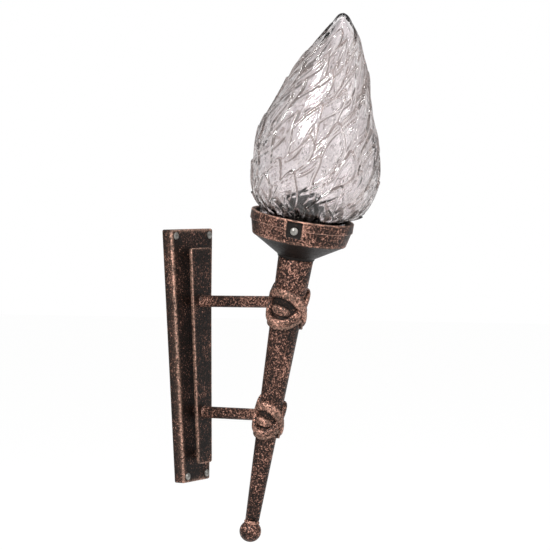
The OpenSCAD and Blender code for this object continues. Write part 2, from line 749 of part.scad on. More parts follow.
// Closed glass shell: its outer rings run upwards and its inner rings come down again
module glass_shade() {
    low_s = cup_ledge_s + glass_gap;
    neck_in_r = neck_d / 2 - glass_wall;
    inset = tongue_valley + glass_wall / 2;
    outer = concat(
        [neck_ring(neck_d / 2, low_s), neck_ring(neck_d / 2, rim_s - neck_land)],
        [for (row = flame_rows) flame_ring(flame_level(row, 0), true)]);
    inner = concat(
        [for (i = [len(flame_outline) - 1:-1:0]) flame_ring(flame_level(flame_outline[i], inset), false)],
        [neck_ring(neck_in_r, rim_s - neck_land), neck_ring(neck_in_r, low_s)]);
    rings = concat(outer, inner);
    count = len(rings);
    top = len(outer) - 1;                      // the last outer ring
    tip = flame_lean * tip_lean;
    points = concat(
        [for (ring = rings) each ring],
        [for (under = [0, 2 * glass_wall])
            [tip * cos(flame_turn), tip * sin(flame_turn), rim_s + flame_h - under]]);
    walls = [
        for (i = [0:count - 1], k = [0:sectors - 1])
            if (i != top)
                let (j = (i + 1) % count, m = (k + 1) % sectors,
                     a = i * sectors + k, b = i * sectors + m,
                     c = j * sectors + m, d = j * sectors + k)
                    each [[a, d, c], [a, c, b]]
    ];
    tip_out = count * sectors;
    caps = [
        for (k = [0:sectors - 1])
            let (m = (k + 1) % sectors, out = top * sectors, in = (top + 1) * sectors)
                each [[out + k, tip_out, out + m], [in + m, tip_out + 1, in + k]]
    ];
    color("gainsboro", 0.5) on_torch() polyhedron(points, concat(walls, caps), convexity = 8);
}

// Cap of the lampholder, which screws onto the centre rod
module holder_cap() {
    rise = holder_collar_h + 5;
    color("dimgray") on_torch(holder_s) difference() {
        union() {
            cylinder(r = holder_collar_r, h = holder_collar_h);
            translate([0, 0, holder_collar_h - 1.5])
                cylinder(r1 = holder_collar_r, r2 = holder_r, h = rise - holder_collar_h + 1.5);
            translate([0, 0, rise]) cylinder(r = holder_r, h = holder_cap_h - rise);
        }
        translate([0, 0, -eps]) cylinder(r = nipple_r + fit_gap, h = far);
        translate([0, 0, insert_s - holder_s]) cylinder(r = insert_r + fit_gap, h = far);
        translate([0, 0, holder_collar_h + 1.7])
            cylinder(r1 = holder_collar_r, r2 = insert_r - 2,
                     h = insert_s - holder_s - holder_collar_h - 1.6);
    }
}

// Porcelain insert with a shoulder that the holder's body clamps
module holder_insert() {
    color("white") on_torch(insert_s) difference() {
        union() {
            cylinder(r = insert_r, h = insert_h - insert_neck_h);
            cylinder(r = insert_neck_r, h = insert_h);
        }
        translate([0, 0, -eps]) cylinder(r = 1.5 + fit_gap, h = far);
        translate([0, 0, insert_h - contact_t - fit_gap]) cylinder(r = contact_r + fit_gap, h = far);
        for (side = [-1, 1])
            translate([side * way_pitch, 0, -eps]) cylinder(r = way_r, h = insert_h * 0.6);
    }
}

module holder_body() {
    color("dimgray") on_torch(holder_body_s) difference() {
        cylinder(r = holder_r - 0.5, h = holder_body_h);
        translate([0, 0, -eps]) cylinder(r = insert_neck_r + fit_gap, h = insert_neck_h + eps);
        translate([0, 0, -eps]) cylinder(r = socket_r + shell_t + fit_gap, h = far);
    }
}

module screw_shell() {
    color("goldenrod") on_torch(insert_top_s) ring(socket_r + shell_t, socket_r, socket_len);
}

module centre_contact() {
    color("goldenrod") on_torch(insert_top_s - contact_t) {
        cylinder(r = contact_r, h = contact_t);
        translate([0, 0, -insert_h * 0.4]) cylinder(r = 1.5, h = insert_h * 0.4 + eps);
    }
}

module terminal_block() {
    color("ivory") difference() {
        translate([-block_size[0] / 2, block_front_y, block_z - block_size[2] / 2]) cube(block_size);
        for (way = [-1:1]) {
            translate([way * way_pitch, -bracket_t - block_size[1] / 2, block_z - far / 2])
                cylinder(r = way_r, h = far);
            for (end = [-1, 1])
                from_wall(way * way_pitch, -bracket_t - block_size[1] / 2, block_z + end * terminal_screw_z)
                    cylinder(r = terminal_screw_r + fit_gap, h = far);
        }
        from_wall(block_screw_x, far / 2, block_z) cylinder(r = block_screw_r + hole_gap, h = far);
    }
}

// Two clamping screws in each of the block's three ways, sunk below its face
module terminal_screws() {
    color("silver") for (way = [-1:1], end = [-1, 1])
        from_wall(way * way_pitch, -bracket_t - block_size[1] / 2 - wire_r - 0.1,
                  block_z + end * terminal_screw_z)
            cylinder(r = terminal_screw_r, h = 2.2);
}

module block_screw() {
    length = block_size[1] + bracket_t;
    color("silver") from_wall(block_screw_x, block_front_y, block_z)
        pan_screw(block_screw_r, length, block_screw_r + 0.6, small_head_h);
}

module earth_washer() {
    color("silver") from_wall(0, -bracket_t, earth_z)
        ring(earth_washer_r, screw_r + hole_gap, earth_washer_t);
}

module earth_screw() {
    color("silver") from_wall(0, -bracket_t - earth_washer_t, earth_z)
        pan_screw(screw_r, bracket_t + earth_washer_t, screw_head_r, screw_head_h);
}

// An insulated wire along points that stay near one upright plane
module wire(path) {
    sides = 8;
    last = len(path) - 1;
    points = [
        for (i = [0:last])
            let (along = unit(path[min(i + 1, last)] - path[max(i - 1, 0)]),
                 side = unit([1, 0, 0] - along * along[0]), up = cross(along, side))
                for (k = [0:sides - 1])
                    let (a = 360 * k / sides) path[i] + wire_r * (cos(a) * side + sin(a) * up)
    ];
    walls = [
        for (i = [0:last - 1], k = [0:sides - 1])
            let (m = (k + 1) % sides, a = i * sides, b = (i + 1) * sides)
                each [[a + k, b + k, b + m], [a + k, b + m, a + m]]
    ];
    caps = [[for (k = [0:sides - 1]) k], [for (k = [sides - 1:-1:0]) last * sides + k]];
    polyhedron(points, concat(walls, caps), convexity = 4);
}

// A point on the torch's axis line, moved by x, at a length along the torch
function torch_point(x, s, back = 0) = [
    x, -ball_out - s * sin(torch_tilt) + back * cos(torch_tilt),
    ball_z + s * cos(torch_tilt) + back * sin(torch_tilt)
];

// Route of a lamp wire on one side: block, arm, torch tube, centre rod, lampholder
function lamp_wire_route(side) =
    let (block_x = side * way_pitch, x = side * 1.3, y = -bracket_t - block_size[1] / 2,
         back = -bracket_t - wire_r - 0.3, arm_s = torch_s(upper_arm_z))
        [
            [block_x, y, block_z + 3], [block_x, y, block_z + 16], [block_x, y, earth_z - 2],
            [side * 6.6, y + 0.2, earth_z + 12], [side * 3.4, back - 0.8, upper_arm_z - 20],
            [x, back, upper_arm_z - 9], [x, back + 0.05, upper_arm_z - 5],
            [x, back - 0.7, upper_arm_z - 1.9], [x, back - 2.4, upper_arm_z - 0.4],
            [x, back - 5.5, upper_arm_z],
            [x, strap_front_y - 20, upper_arm_z], [x, torch_y(upper_arm_z) + 24, upper_arm_z],
            torch_point(x, arm_s + 1.8, 9), torch_point(x, arm_s + 5, 4.4),
            torch_point(x, arm_s + 10.5, 1.2), torch_point(x, arm_s + 18, 0),
            torch_point(x, nipple_low_s, 0), torch_point(x, nipple_top_s, 0),
            torch_point(side * 3.8, nipple_top_s + 2.1, 0),
            torch_point(side * 6.8, nipple_top_s + 4.2, 0),
            torch_point(side * way_pitch, insert_s + 0.8, 0),
            torch_point(side * way_pitch, insert_s + 4, 0)
        ];

module live_wire() {
    color("sienna") wire(lamp_wire_route(-1));
}

module neutral_wire() {
    color("steelblue") wire(lamp_wire_route(1));
}

// Short link from the block's middle way to the earth washer
module earth_wire() {
    y = -bracket_t - block_size[1] / 2;
    front = -bracket_t - earth_washer_t - wire_r;
    color("olivedrab") wire([
        [0, y, block_z + 3], [0, y, block_z + 12], [0, y + 0.6, block_z + 18],
        [0, front, earth_z - earth_washer_r - 2], [0, front, earth_z - screw_head_r - 0.1]
    ]);
}

wall_bracket();
back_plate();
plate_screws();
front_strap();
strap_spacers();
strap_screws();
upper_arm();
lower_arm();
arm_nipples();
arm_washers();
arm_nuts();
upper_collar();
lower_collar();
torch_tube();
tube_plug();
ball_finial();
top_bush();
centre_nipple();
gallery_cup();
cup_washer();
cup_nut();
gallery_screw(0);  // gallery_screw_1
gallery_screw(1);  // gallery_screw_2
gallery_screw(2);  // gallery_screw_3
glass_shade();
holder_cap();
holder_insert();
holder_body();
screw_shell();
centre_contact();
terminal_block();
terminal_screws();
block_screw();
earth_washer();
earth_screw();
live_wire();
neutral_wire();
earth_wire();
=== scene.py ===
import json

import bpy
import numpy as np
from mathutils import Matrix, Vector


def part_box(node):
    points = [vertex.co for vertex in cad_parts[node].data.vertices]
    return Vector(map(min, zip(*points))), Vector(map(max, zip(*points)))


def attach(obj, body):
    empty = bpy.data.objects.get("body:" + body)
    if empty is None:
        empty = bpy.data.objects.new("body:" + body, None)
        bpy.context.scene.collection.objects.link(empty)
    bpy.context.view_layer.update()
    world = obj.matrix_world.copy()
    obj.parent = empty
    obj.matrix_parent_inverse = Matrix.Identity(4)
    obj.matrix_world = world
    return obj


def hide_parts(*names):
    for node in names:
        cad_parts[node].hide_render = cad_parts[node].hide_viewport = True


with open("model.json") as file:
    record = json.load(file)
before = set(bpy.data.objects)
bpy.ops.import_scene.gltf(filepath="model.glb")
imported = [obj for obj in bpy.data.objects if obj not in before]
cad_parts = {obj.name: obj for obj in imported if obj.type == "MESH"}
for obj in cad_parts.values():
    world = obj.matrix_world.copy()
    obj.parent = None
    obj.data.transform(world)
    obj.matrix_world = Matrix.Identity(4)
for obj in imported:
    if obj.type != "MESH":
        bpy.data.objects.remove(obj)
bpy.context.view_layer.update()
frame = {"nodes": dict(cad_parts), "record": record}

BALL = np.array([0.0, -82.9, -188.8])      # centre of the ball
TILT = np.radians(12.5)                    # lean of the torch
BALL_R = 11.75
TUBE_START = 12.95                         # where the tube meets the ball's neck
TORCH_LEN = 302.4                          # seat of the cup
TUBE_LOW_R, TUBE_TOP_R = 7.0, 18.85        # radii at the ball's centre and at the cup
TUBE_WALL = 1.5
ARM_Z = {"upper": 59.6, "lower": -62.1}
ARM_R = 6.35
WELD_H, WELD_REACH = 0.8, 1.4              # the bead where an arm meets the strap


# ---------------------------------------------------------------- small helpers

def smooth(x, low, high):
    """0 below low, 1 above high, and an S-shaped rise between them."""
    t = np.clip((x - low) / (high - low), 0, 1)
    return t * t * (3 - 2 * t)


def near(x, place, reach):
    """1 at a place, and a bell curve that falls off within the reach on both its sides."""
    return np.exp(-((x - place) / reach) ** 2)


def bulge(x, power):
    """A sine or cosine made fuller by a power below 1, with its sign kept."""
    return np.sign(x) * np.abs(x) ** power


def wave(degrees):
    """Sine of an angle in degrees."""
    return np.sin(np.radians(degrees))


def through(table, t):
    """Catmull-Rom curve through the rows of a table, at places t from 0 to its last row."""
    table = np.asarray(table, float)
    last = len(table) - 1
    i = np.clip(np.floor(t).astype(int), 0, last - 1)
    f = (t - i)[..., None]
    a, b, c, d = (table[np.clip(i + k, 0, last)] for k in (-1, 0, 1, 2))
    return b + f / 2 * ((c - a) + f * ((2 * a - 5 * b + 4 * c - d) + f * (3 * b - a - 3 * c + d)))


def lean(points):
    """Torch frame to row frame: turned by the lean about X, then moved to the ball."""
    x, y, z = np.moveaxis(np.asarray(points, float), -1, 0)
    turned = [x, y * np.cos(TILT) - z * np.sin(TILT), y * np.sin(TILT) + z * np.cos(TILT)]
    return np.stack(turned, -1) + BALL


def tube_radius(s):
    """The torch is a cone, whose radius grows evenly from the ball to the cup."""
    return TUBE_LOW_R + (TUBE_TOP_R - TUBE_LOW_R) * s / TORCH_LEN


def skin(name, points, poles=True, **fields):
    """Closed mesh over a grid of points, rows by columns, in millimetres. Columns run
    round it. With poles the first and last rows are single points, otherwise the last
    row joins the first. Each field is a number per point, kept as an attribute."""
    rows, cols = points.shape[:2]
    index = np.arange(rows * cols).reshape(rows, cols)
    if poles:
        index[0], index[-1] = index[0, 0], index[-1, 0]
        low, high = index[:-1], index[1:]
    else:
        low, high = index, np.roll(index, -1, 0)
    quads = np.stack([low, np.roll(low, -1, 1), np.roll(high, -1, 1), high], -1).reshape(-1, 4)
    used, flat = np.unique(quads, return_inverse=True)
    quads = flat.reshape(-1, 4)
    xyz = points.reshape(-1, 3)[used] / 1000
    a, b, c, d = (xyz[quads[:, k]] for k in range(4))
    volume = np.sum(a * np.cross(b, c)) + np.sum(a * np.cross(c, d))
    if volume < 0:
        quads = quads[:, ::-1]
    kept = quads != np.roll(quads, 1, 1)
    faces = np.split(quads[kept], np.cumsum(kept.sum(1))[:-1])
    mesh = bpy.data.meshes.new(name)
    mesh.from_pydata(xyz, [], faces)
    mesh.shade_smooth()
    for field, values in fields.items():
        layer = mesh.attributes.new(field, "FLOAT", "POINT")
        numbers = np.broadcast_to(values, (rows, cols)).reshape(-1)[used]
        layer.data.foreach_set("value", numbers.astype(np.float32))
    piece = bpy.data.objects.new(name, mesh)
    bpy.context.collection.objects.link(piece)
    return piece


def spun(profile, columns=96):
    """A profile of radius and length along the torch, spun round its axis."""
    profile = np.asarray(profile, float)
    turn = np.linspace(0, 2 * np.pi, columns, endpoint=False)
    r, s = profile[:, 0, None], profile[:, 1, None]
    return np.stack([r * np.cos(turn), r * np.sin(turn), s + 0 * turn], -1)


# ------------------------------------------------------------------- finishes

class Nodes:
    """A node tree that is built up node by node, from one kind of texture coordinate."""

    def __init__(self, tree, place):
        self.tree = tree
        self.place = self.node("ShaderNodeTexCoord").outputs[place]

    def node(self, kind, inputs=(), **settings):
        """A new node with its settings, and a value or a link for each input named."""
        made = self.tree.nodes.new(kind)
        for key, value in settings.items():
            setattr(made, key, value)
        for socket, value in dict(inputs).items():
            self.set(made.inputs[socket], value)
        return made

    def set(self, socket, value):
        """Links a node's output to a socket, or gives the socket a plain value."""
        if isinstance(value, bpy.types.NodeSocket):
            self.tree.links.new(value, socket)
        else:
            socket.default_value = value

    def noise(self, scale, detail, rough=0.55, bend=0.0):
        """Fractal noise. In a finish its scale is in features per metre."""
        return self.node("ShaderNodeTexNoise", {
            "Vector": self.place, "Scale": scale, "Detail": detail,
            "Roughness": rough, "Distortion": bend}).outputs["Fac"]

    def cells(self, scale, feature):
        """Distance from the middles of random cells."""
        return self.node("ShaderNodeTexVoronoi", {
            "Vector": self.place, "Scale": scale}, feature=feature).outputs["Distance"]

    def span(self, value, low, high, to_low=0.0, to_high=1.0):
        """A value stretched from low..high to to_low..to_high, and clamped."""
        return self.node("ShaderNodeMapRange", {
            "Value": value, "From Min": low, "From Max": high,
            "To Min": to_low, "To Max": to_high}, interpolation_type="SMOOTHSTEP").outputs["Result"]

    def math(self, operation, a, b=0.0):
        """A math node on two numbers, or on the first alone where it takes only one."""
        return self.node("ShaderNodeMath", {0: a, 1: b}, operation=operation).outputs[0]

    def swing(self, value, reach):
        """A value that averages a half, as a swing about zero."""
        return self.math("MULTIPLY", self.math("SUBTRACT", value, 0.5), reach)

    def either(self, share, a, b):
        """Shader a where the share is 0 and b where it is 1."""
        return self.node("ShaderNodeMixShader", {0: share, 1: a, 2: b}).outputs[0]


class Finish(Nodes):
    """A node material with one Principled shader."""

    def __init__(self, name):
        self.material = bpy.data.materials.new(name)
        self.material.use_nodes = True
        self.shader = self.material.node_tree.nodes["Principled BSDF"]
        super().__init__(self.material.node_tree, "Object")

    def mix(self, share, a, b):
        """Colour a where the share is 0 and b where it is 1."""
        made = self.node("ShaderNodeMix", {"Factor": share}, data_type="RGBA")
        for socket, colour in ((made.inputs[6], a), (made.inputs[7], b)):
            self.set(socket, (*colour, 1) if isinstance(colour, tuple) else colour)
        return made.outputs[2]

    def field(self, name):
        """A number per point that the piece's mesh carries."""
        return self.node("ShaderNodeAttribute", attribute_name=name).outputs["Fac"]

    def bump(self, height, depth, strength, under=None):
        """A normal from a height, over the normal under it. Its depth is in metres."""
        made = self.node("ShaderNodeBump", {
            "Height": height, "Distance": depth, "Strength": strength})
        if under:
            self.set(made.inputs["Normal"], under)
        return made.outputs["Normal"]

    def finish(self, **inputs):
        """Sets the Principled shader's inputs. Their names have an underscore for each space."""
        for name, value in inputs.items():
            socket = self.shader.inputs[name.replace("_", " ")]
            self.set(socket, (*value, 1) if isinstance(value, tuple) else value)
        return self.material


DIRT = (0.1, 0.08, 0.06)


def aged_copper(name, density, shaded=False):
    """Nearly black patina with copper rubbed through it in fine blotches, and brighter where the
    wear and highlight field is raised: on worn edges, and as painted highlights on edges and
    crests. density moves the share of copper; where shaded, the shade field hides it, as painted
    shade in the cup's hollows and as plainer paint on its cone."""
    made = Finish(name)
    patch = made.noise(38, 3)
    speckle = made.noise(470, 4, 0.7, 0.4)
    fine = made.noise(1000, 2, 0.6)
    grit = made.span(made.noise(420, 5, 0.75), 0.36, 0.62)
    # wear and painted highlight from the mesh field, broken up by grit
    worn_and_highlit = made.math("MULTIPLY", made.field("wear"), grit)
    level = made.math("ADD", speckle, made.swing(patch, 0.34))
    level = made.math("ADD", level, made.math("MULTIPLY", worn_and_highlit, 0.20))
    level = made.math("ADD", level, made.swing(fine, 0.5))
    if shaded:
        # the shade field takes copper away: painted shade in the cup's hollows, plainer paint on its cone
        level = made.math("SUBTRACT", level, made.math("MULTIPLY", made.field("shade"), 0.24))
    low = 0.60 - 0.2 * density
    some = made.span(level, low - 0.08, low + 0.05)
    much = made.span(level, low + 0.02, low + 0.16)
    colour = made.mix(some, (0.006, 0.004, 0.0032), (0.095, 0.046, 0.034))
    colour = made.mix(much, colour, (0.56, 0.30, 0.225))
    # brighter copper where worn and where highlights are painted
    colour = made.mix(made.math("MULTIPLY", worn_and_highlit, 0.6), colour, (0.56, 0.35, 0.265))
    normal = made.bump(made.cells(120, "SMOOTH_F1"), 0.0012, 0.22)
    normal = made.bump(level, 0.0007, 0.6, normal)
    return made.finish(
        Base_Color=colour, Metallic=made.span(some, 0, 1, 0.0, 0.6), Specular_IOR_Level=0.13,
        Roughness=made.span(fine, 0.3, 0.7, 0.32, 0.52), Normal=normal)


def plain_metal(name, colour, rough, metallic=1.0):
    """Turned or pressed metal: fine grain in its gloss, and a trace of dirt."""
    made = Finish(name)
    dull = tuple(0.82 * c for c in colour)
    stain = made.span(made.noise(180, 4), 0.55, 0.75, 0.0, 0.45)
    shade = made.mix(made.span(made.noise(700, 3), 0.35, 0.65), colour, dull)
    return made.finish(
        Base_Color=made.mix(stain, shade, DIRT), Metallic=metallic,
        Roughness=made.span(made.noise(450, 3), 0.3, 0.7, rough, rough + 0.16),
        Normal=made.bump(made.noise(1400, 2), 0.0001, 0.3))


def moulded(name, colour, rough):
    """Moulded or fired material: cloudy colour and a faint orange-peel skin."""
    made = Finish(name)
    dull = tuple(0.86 * c for c in colour)
    return made.finish(
        Base_Color=made.mix(made.span(made.noise(90, 4), 0.35, 0.65), colour, dull),
        Roughness=made.span(made.noise(300, 3), 0.3, 0.7, rough, rough + 0.12),
        Normal=made.bump(made.noise(1100, 2), 0.00008, 0.5))


def clear_glass():
    """Clear pressed glass with a faint lilac-grey body, with a painted highlight on the tongues'
    rims and ribs, and painted dark refraction where the relief is steep and in bands round its base."""
    made = Finish("clear_glass")
    body = made.mix(made.span(made.noise(14, 2), 0.35, 0.65), (0.83, 0.79, 0.80), (0.89, 0.85, 0.86))
    # painted highlight along the rims, then painted dark refraction in two steps
    colour = made.mix(made.field("crest"), body, (0.98, 0.95, 0.94))
    colour = made.mix(made.span(made.field("crease"), 0.4, 0.8), colour, (0.36, 0.29, 0.27))
    colour = made.mix(made.span(made.field("crease"), 1.0, 1.8), colour, (0.07, 0.05, 0.042))
    ripples = made.bump(made.noise(95, 3, 0.5, 0.4), 0.0012, 0.3)
    return made.finish(
        Base_Color=colour, Roughness=0.03, IOR=1.47, Transmission_Weight=1.0, Normal=ripples)


finishes = {
    "aged_copper": aged_copper("aged_copper", 0.38),
    "aged_copper_dark": aged_copper("aged_copper_dark", 0.0),
    "aged_copper_rubbed": aged_copper("aged_copper_rubbed", 0.50),
    "aged_copper_cup": aged_copper("aged_copper_cup", 0.40, shaded=True),
    "bright_zinc": plain_metal("bright_zinc", (0.30, 0.29, 0.27), 0.28, 0.9),
    "plain_zinc": plain_metal("plain_zinc", (0.48, 0.48, 0.46), 0.42),
    "brass": plain_metal("brass", (0.66, 0.47, 0.20), 0.30),
    "clear_glass": clear_glass(),
    "black_phenolic": moulded("black_phenolic", (0.018, 0.017, 0.016), 0.30),
    "porcelain": moulded("porcelain", (0.74, 0.72, 0.67), 0.18),
    "ivory_nylon": moulded("ivory_nylon", (0.62, 0.57, 0.44), 0.42),
    "brown_sheath": moulded("brown_sheath", (0.13, 0.055, 0.02), 0.45),
    "blue_sheath": moulded("blue_sheath", (0.03, 0.09, 0.32), 0.45),
    "green_sheath": moulded("green_sheath", (0.10, 0.26, 0.05), 0.45),
}


def fit(piece, finish, body, *nodes, slot="aged_copper"):
    """A piece takes its finish, rides on its body, and stands for CAD nodes."""
    piece.data.materials.append(finishes[finish])
    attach(piece, body)
    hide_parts(*nodes)
    return piece


# ------------------------------------------------------- back plate and strap

PLATE = (38.0, 24.25, 138.75)              # half widths at its top and foot, half its height
PLATE_DEPTH, PLATE_SHEET = 12.5, 1.5
PLATE_EDGE_R, PLATE_INNER_R = 2.5, 1.75    # bends of the pan, outside and inside
PLATE_WEAR_AND_HIGHLIGHT = [                             # wear and painted highlight of its outlines, from the face's middle to the wall
    0, 0, 0, 0.1, 0.3, 0.6, 0.8, 0.8, 0.7, 0.5, 0.25, 0.1, 0, 0.1]
STRAP = (18.25, 12.0, 118.0)
STRAP_FRONT, STRAP_BACK = 24.5, 20.5       # how far its faces stand off the wall
STRAP_CORNER_R, STRAP_EDGE_R = 2.5, 0.7
SHARP = 0.05                               # corner radius of the innermost outlines
CORNER_STEPS = 7


def oblong(top_half, low_half, half_h, inset, corner_r):
    """Outline of a tapered oblong, wider at its top: four quarter circles of radius
    corner_r about its corners, moved inwards by inset. Gives x and z."""
    corner = np.repeat(np.arange(4), CORNER_STEPS)
    turn = np.radians(90 * corner + np.tile(np.linspace(0, 90, CORNER_STEPS), 4))
    end = np.where(corner < 2, 1, -1)
    side = np.where((corner == 0) | (corner == 3), 1, -1)
    half = np.where(end > 0, top_half, low_half)
    return (side * (half - inset - corner_r) + corner_r * np.cos(turn),
            end * (half_h - inset - corner_r) + corner_r * np.sin(turn))


def loops(shape, sections):
    """One outline for each section, a list of inset, corner radius and depth along -Y."""
    grid = []
    for inset, corner_r, depth in sections:
        x, z = oblong(*shape, inset, corner_r)
        grid.append(np.stack([x, 0 * x - depth, z], -1))
    return np.array(grid)


def pan_sections(inset, depth, edge_r, face):
    """From the middle of the face outwards, round the front edge and back to the wall. face
    lists how far in from the edge the face's own outlines lie."""
    bend = np.radians(np.linspace(90, 0, 7))
    rows = [(inset + edge_r + far, SHARP, depth) for far in face]
    rows += [(inset + edge_r * (1 - np.cos(a)), max(edge_r * np.cos(a), SHARP),
              depth - edge_r * (1 - np.sin(a))) for a in bend]
    return rows + [(inset, edge_r, depth - edge_r - 1.2), (inset, edge_r, 2), (inset, edge_r, 0)]


def make_plate():
    """A pressed pan: a flat tapered face, a rounded bend and a flange back to the wall."""
    outer = pan_sections(0, PLATE_DEPTH, PLATE_EDGE_R, (19, 8, 3, 1.2))
    inner = pan_sections(PLATE_SHEET, PLATE_DEPTH - PLATE_SHEET, PLATE_INNER_R, (19,))[::-1]
    # the rounded bend is painted brighter, as wear and highlight
    wear = np.array(PLATE_WEAR_AND_HIGHLIGHT + [0] * len(inner))[:, None]
    plate = skin("plate_pan", loops(PLATE, outer + inner), wear=wear)
    return fit(plate, "aged_copper_dark", "sconce", "back_plate")


def make_strap():
    """A flat tapered bar with its front edges and sides brighter, as wear and painted highlight.
    Each row is an inset, a corner radius, a depth and its wear and highlight: over the front
    face, round its edge and over the back."""
    bend = np.radians(np.linspace(90, 0, 5))
    inner_r = STRAP_CORNER_R - STRAP_EDGE_R
    rows = [(9, SHARP, STRAP_FRONT, 0), (4.5, 0.5, STRAP_FRONT, 0),
            (2, 1.4, STRAP_FRONT, 0.05), (1.1, 2, STRAP_FRONT, 0.35)]
    rows += [(STRAP_EDGE_R * (1 - np.cos(a)), inner_r + STRAP_EDGE_R * np.cos(a),
              STRAP_FRONT - STRAP_EDGE_R * (1 - np.sin(a)), 0.75) for a in bend]
    rows += [(0, STRAP_CORNER_R, STRAP_FRONT - 1.5, 0.4), (0, STRAP_CORNER_R, STRAP_BACK + 0.8, 0.3),
             (0.5, 2, STRAP_BACK, 0.1), (9, SHARP, STRAP_BACK, 0)]
    points = loops(STRAP, [row[:3] for row in rows])
    strap = skin("strap_bar", points, wear=np.array([row[3] for row in rows])[:, None])
    return fit(strap, "aged_copper_dark", "sconce", "front_strap")


def make_arm(which):
    """A round bar along Y with a low weld bead where it meets the strap."""
    low, high = (np.array(corner) * 1000 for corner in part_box(which + "_arm"))
    along = np.concatenate([[0, 0, 0.4, 1.2, 2.4, 4, 7], np.linspace(10, high[1] - low[1], 12)])
    radius = ARM_R + WELD_H * near(along, 0, WELD_REACH)
    radius[0] = 0
    radius = np.append(radius, 0)
    along = np.append(along, along[-1])
    turn = np.linspace(0, 2 * np.pi, 64, endpoint=False)
    x = radius[:, None] * np.cos(turn)
    z = ARM_Z[which] + radius[:, None] * np.sin(turn)
    y = high[1] - along[:, None] + 0 * turn
    # the bead is a little brighter, as wear and painted highlight
    arm = skin(which + "_bar", np.stack([x, y, z], -1), wear=0.1 * near(along, 1, 1.2)[:, None])
    return fit(arm, "aged_copper", "sconce", which + "_arm")


# ------------------------------------------------------------ torch and collars

def make_tube():
    """Thin cone with its wall turned in at both ends. It is darker towards its lower end."""
    s = np.linspace(TUBE_START, TORCH_LEN, 60)
    outer = np.stack([tube_radius(s), s], -1)
    inner = np.stack([tube_radius(s[::-1]) - TUBE_WALL, s[::-1]], -1)[::6]
    profile = np.concatenate([outer, inner])
    wear = smooth(profile[:, 1, None], 0, TORCH_LEN) * 0.5 - 0.5
    tube = skin("torch_cone", lean(spun(profile)), poles=False, wear=wear)
    return fit(tube, "aged_copper", "sconce", "torch_tube")


def make_ball():
    """A ball that runs into a short neck with a bead, where the tube begins."""
    arc = np.radians(np.linspace(-90, 50, 40))
    neck = tube_radius(TUBE_START)
    bead = np.radians(np.linspace(-90, 90, 9))
    bead_s, bead_r = 10.3, 0.95
    profile = np.concatenate([
        np.stack([BALL_R * np.cos(arc), BALL_R * np.sin(arc)], -1),
        np.stack([neck + bead_r * np.cos(bead), bead_s + bead_r * np.sin(bead)], -1),
        [[neck, TUBE_START], [0, TUBE_START]]])
    # less copper on the ball; the bead brighter, as wear and painted highlight
    wear = np.concatenate([0 * arc - 0.3, 0.3 + 0 * bead, [0, 0]])[:, None]
    ball = skin("ball_knob", lean(spun(profile)), wear=wear)
    return fit(ball, "aged_copper_rubbed", "sconce", "ball_finial")


def on_tube(turn, s, out):
    """Points at an angle round the torch, a length along it and a height off the tube."""
    r = tube_radius(s) + out
    return lean(np.stack([r * np.cos(turn), r * np.sin(turn), s], -1))


# Each collar: height of its band's wave, and how far its middle lies below the arm
COLLARS = {"upper": (16.3, 5.0), "lower": (15.0, 3.2)}
CROSSINGS = [25, 108, 272, 385]            # where the two turns of a collar's band cross
EYE_RISE = [1.3, 1.0, 1.0]                 # height of each eye: the arm goes through the first
EYE_BOSSES = [190, 327]                    # angles of the bosses in the other two
BRAID = [                                  # angle round the torch, and the band's phase there
    (25, -270), (66, -180), (108, -90), (126, -50), (190, 0), (272, 90), (385, 270)]
BRAID_TURN, BRAID_STEPS = 720, 320         # the band's whole way round, and its steps
BAND_HALF, BAND_SWELL = 5.0, 0.7           # half its width, and how much its crests add
BAND_FRONT, BAND_BACK = 3.2, 5.0           # its thickness outwards and inwards
BAND_OUT, BAND_OVER = 1.9, 0.9             # its height off the tube, and its swing over and under
SLEEVE = [                                 # share of its reach up the torch, height off the tube
    (-1.12, 0), (-1.12, 3.4), (-0.9, 3.0), (-0.5, 0.6), (0, 0.4), (0.5, 0.6),
    (0.9, 1.4), (1, 2.4), (1, 0), (0.5, -0.4), (0, -0.4), (-0.5, -0.4)]
BOSS_LONG, BOSS_WIDE = 12.6, 5.2           # half its length round the torch, and half its width
BOSS_FOOT, BOSS_H = 1.2, 3.6               # where it starts off the tube, and its height from there
BOSS_DROP, BOSS_SLANT = 2.8, 0.10          # how far it lies below the middle, and its slant


def braid_phase(turn):
    """Phase of the band at an angle: it grows by half a turn from one crossing to the next,
    and is 90 degrees at the crossing beside the front eye."""
    degrees = (turn - CROSSINGS[0]) % 360 + CROSSINGS[0]
    laps = np.floor((turn - CROSSINGS[0]) / 360)
    return np.radians(np.interp(degrees, *np.transpose(BRAID)) + 540 * laps)


def braid_rise(turn):
    """The band's height over the collar's middle at an angle, as a share of the wave."""
    degrees = (turn - CROSSINGS[0]) % 360 + CROSSINGS[0]
    eye = np.clip(np.searchsorted(CROSSINGS, degrees, "right") - 1, 0, 2)
    return np.cos(braid_phase(turn)) * np.array(EYE_RISE)[eye]


